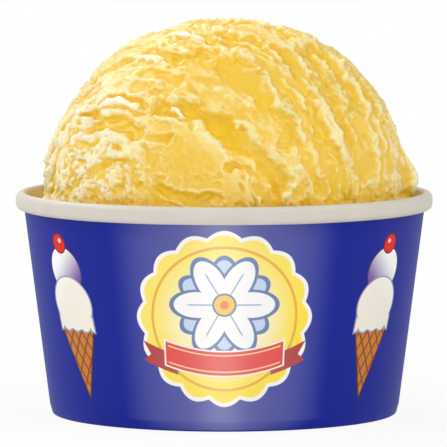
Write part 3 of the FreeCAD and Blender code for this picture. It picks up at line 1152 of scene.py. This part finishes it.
def draw_ribbon(sheet, colour, across, up):
    """A blank red ribbon that curves up at its ends, with two notched tails behind it."""
    side = abs(across)
    above = up - across * across * RIBBON_CURVE
    off_tail = abs(above + TAIL_DROP)
    tail = (off_tail - TAIL_HALF_WIDTH).most(abs(side - TAIL_PLACE) - TAIL_HALF_LENGTH)
    tail = tail.most(side - TAIL_NOTCH - off_tail * 0.8)
    colour = sheet.blend(tail.inside(), colour, ink(172, 24, 22))
    ribbon = (abs(above) - RIBBON_HALF_WIDTH).most(side - RIBBON_HALF_LENGTH)
    colour = sheet.printed(colour, ribbon, CREAM_WHITE, BRIGHT_RED)
    pin = (abs(abs(above) - PIN_LINE) - 0.14).inside() * (side - 12.0).inside()
    return sheet.blend(pin, colour, ink(255, 214, 150))


def disc(across, up, place, squash=1.0):
    """Distance outside a disc that is squash times as wide as high."""
    aside, above, radius = place
    return length(across - aside, (up - above) * squash) - radius


def draw_cone(sheet, colour, across, up):
    """A leaning waffle cone with two scoops and a cherry."""
    across = across - up * CONE_LEAN
    side = abs(across)
    cone = (side - (up + CONE_LENGTH) * CONE_FLARE).most(up) * 0.94
    colour = sheet.printed(colour, cone, ink(96, 44, 20), ink(205, 128, 56))
    for slant in (-WAFFLE_SLANT, WAFFLE_SLANT):
        groove = abs((across + up * slant).wrapped(WAFFLE_SPACING)) - 0.26
        colour = sheet.blend(groove.inside() * cone.inside(), colour, ink(146, 76, 32))
    lit = (across + up).rising(4.0, 16.0)
    top = disc(across, up, TOP_SCOOP)
    shaded = sheet.blend(lit, ink(118, 84, 158), ink(255, 255, 250))
    colour = sheet.printed(colour, top, ink(66, 40, 104), shaded)
    low = disc(across, up, LOW_SCOOP, SCOOP_SQUASH)
    drips = length(side.wrapped(DRIP_SPACING), up + 0.6) - DRIP_RADIUS
    low = low.least(drips.most(side - DRIP_REACH))
    shaded = sheet.blend(lit, ink(246, 240, 226), ink(255, 255, 250))
    colour = sheet.printed(colour, low, ink(150, 160, 190), shaded)
    cherry = disc(across, up, CHERRY)
    colour = sheet.printed(colour, cherry, ink(120, 16, 18), BRIGHT_RED, 0.3)
    return sheet.blend(disc(across, up, CHERRY_SHINE).inside(), colour, ink(255, 214, 200))


# ---------------------------------------------------------------- pieces


def make_cup():
    """The wall, printed outside, and the plain base set into its foot."""
    white = white_board_finish()
    outline, side = board_outline(wall_corners(), WALL_BOARD)
    points, faces, slots = turned(outline, side, hand_made)
    wall = build("printed_cup_wall", points, faces, [white, print_finish()], slots, CRISP_ANGLE)
    outline, side = board_outline(base_corners(), BASE_BOARD)
    points, faces, _ = turned(outline, side, plain)
    base = build("set_in_base", points, faces, [white], None, CRISP_ANGLE)
    return wall, base


# ---------------------------------------------------------------- stage, light and camera, in metres

FLOOR_HALF = 3.0
FLOOR_DROP = 0.05  # millimetres that the floor lies under the foot
SHADOW_FADE = (70.0, 320.0)  # millimetres from the cup over which the floor's shadow dies away
SKY_LIGHT = 0.32
LAMP_AIM = (0, 0, 0.045)
# Lamps: name, power, width, height, angle from the front, height angle and distance
LAMPS = (
    ("front", 4.8, 0.4, 0.45, -2, 4, 1.1),
    ("right_key", 3.3, 0.4, 0.4, 76, 46, 1.0),
    ("upper_left", 2.25, 0.25, 0.25, -76, 46, 0.9),
    ("back_strip", 3.4, 0.9, 0.05, -137, 41, 0.9),
)
LENS = 483.9
SENSOR = 36.0
CAMERA_PLACE = (0, 5.55, 1.3, 0.025)  # angle, height angle, distance and the height that it starts from
CAMERA_AIM = (-0.0002, 0, 0.0409)
CAMERA_REACH = 20.0


def aim_at(thing, target):
    """Turn a lamp or a camera towards a place."""
    way = Vector(target) - thing.location
    thing.rotation_euler = way.to_track_quat("-Z", "Y").to_euler()


def on_ring(angle, height_angle, distance, height):
    """A place at a distance from the cup's axis point at a height, in metres."""
    return tuple(direction(angle, height_angle) * distance + np.array([0, 0, height]))


def light_the_stage():
    """Plain soft lamps, all aimed at the middle of the cup's rim."""
    for name, power, width, height, angle, height_angle, distance in LAMPS:
        light = bpy.data.lights.new(name, "AREA")
        light.shape = "RECTANGLE"
        light.size = width
        light.size_y = height
        light.energy = power
        lamp = bpy.data.objects.new(name, light)
        lamp.location = on_ring(angle, height_angle, distance, LAMP_AIM[2])
        aim_at(lamp, LAMP_AIM)
        bpy.context.collection.objects.link(lamp)


def make_stage():
    """A plain white floor that keeps the object's shadow near the cup."""
    table = Finish(bpy.data.materials.new("table"))
    x, y, _ = table.place()
    away = length(x, y).rising(*SHADOW_FADE)
    shade = table.blend(table.noise(60.0), (0.86,) * 3, (0.9,) * 3)
    matt = table.node("BsdfDiffuse", None, {"Color": shade})
    white = table.node("Emission", None, {"Color": (1, 1, 1, 1), "Strength": 1.0})
    whiteness = table.looked_at() * (0.9 + away * 0.1)
    finish = table.close(table.node("MixShader", None, {0: whiteness, 1: matt, 2: white}))
    half = FLOOR_HALF / MM
    corners = [(-half, -half, 0), (half, -half, 0), (half, half, 0), (-half, half, 0)]
    floor = build("table_top", corners, [(0, 1, 2, 3)], [finish])
    floor.location.z = -FLOOR_DROP * MM


def make_world():
    """A soft even light, whose background looks white."""
    world = bpy.data.worlds.new("studio")
    bpy.context.scene.world = world
    studio = Finish(world)
    strength = SKY_LIGHT + studio.looked_at() * (1 - SKY_LIGHT)
    sky = studio.node("Background", None, {"Color": (1, 1, 1, 1), "Strength": strength})
    studio.node("OutputWorld", None, {"Surface": sky})


def make_camera():
    """A long lens in front, looking a little down on the rim."""
    camera = bpy.data.cameras.new("camera")
    camera.lens = LENS
    camera.sensor_width = SENSOR
    camera.clip_end = CAMERA_REACH
    holder = bpy.data.objects.new("camera", camera)
    holder.location = on_ring(*CAMERA_PLACE)
    aim_at(holder, CAMERA_AIM)
    bpy.context.collection.objects.link(holder)
    bpy.context.scene.camera = holder


# ---------------------------------------------------------------- the whole

wall, base = make_cup()
vanilla = vanilla_finish()
cream = make_ice_cream(vanilla)
crumbs = make_crumbs(vanilla)
for piece, node, slot in (
    (wall, "cup_wall", "wall_board"),
    (base, "cup_base", "base_board"),
    (cream, "ice_cream", "ice_cream"),
):
    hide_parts(node)
    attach(piece, "root")
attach(crumbs, "root")

make_stage()
make_world()
light_the_stage()
make_camera()
bpy.context.scene.view_settings.view_transform = "Standard"
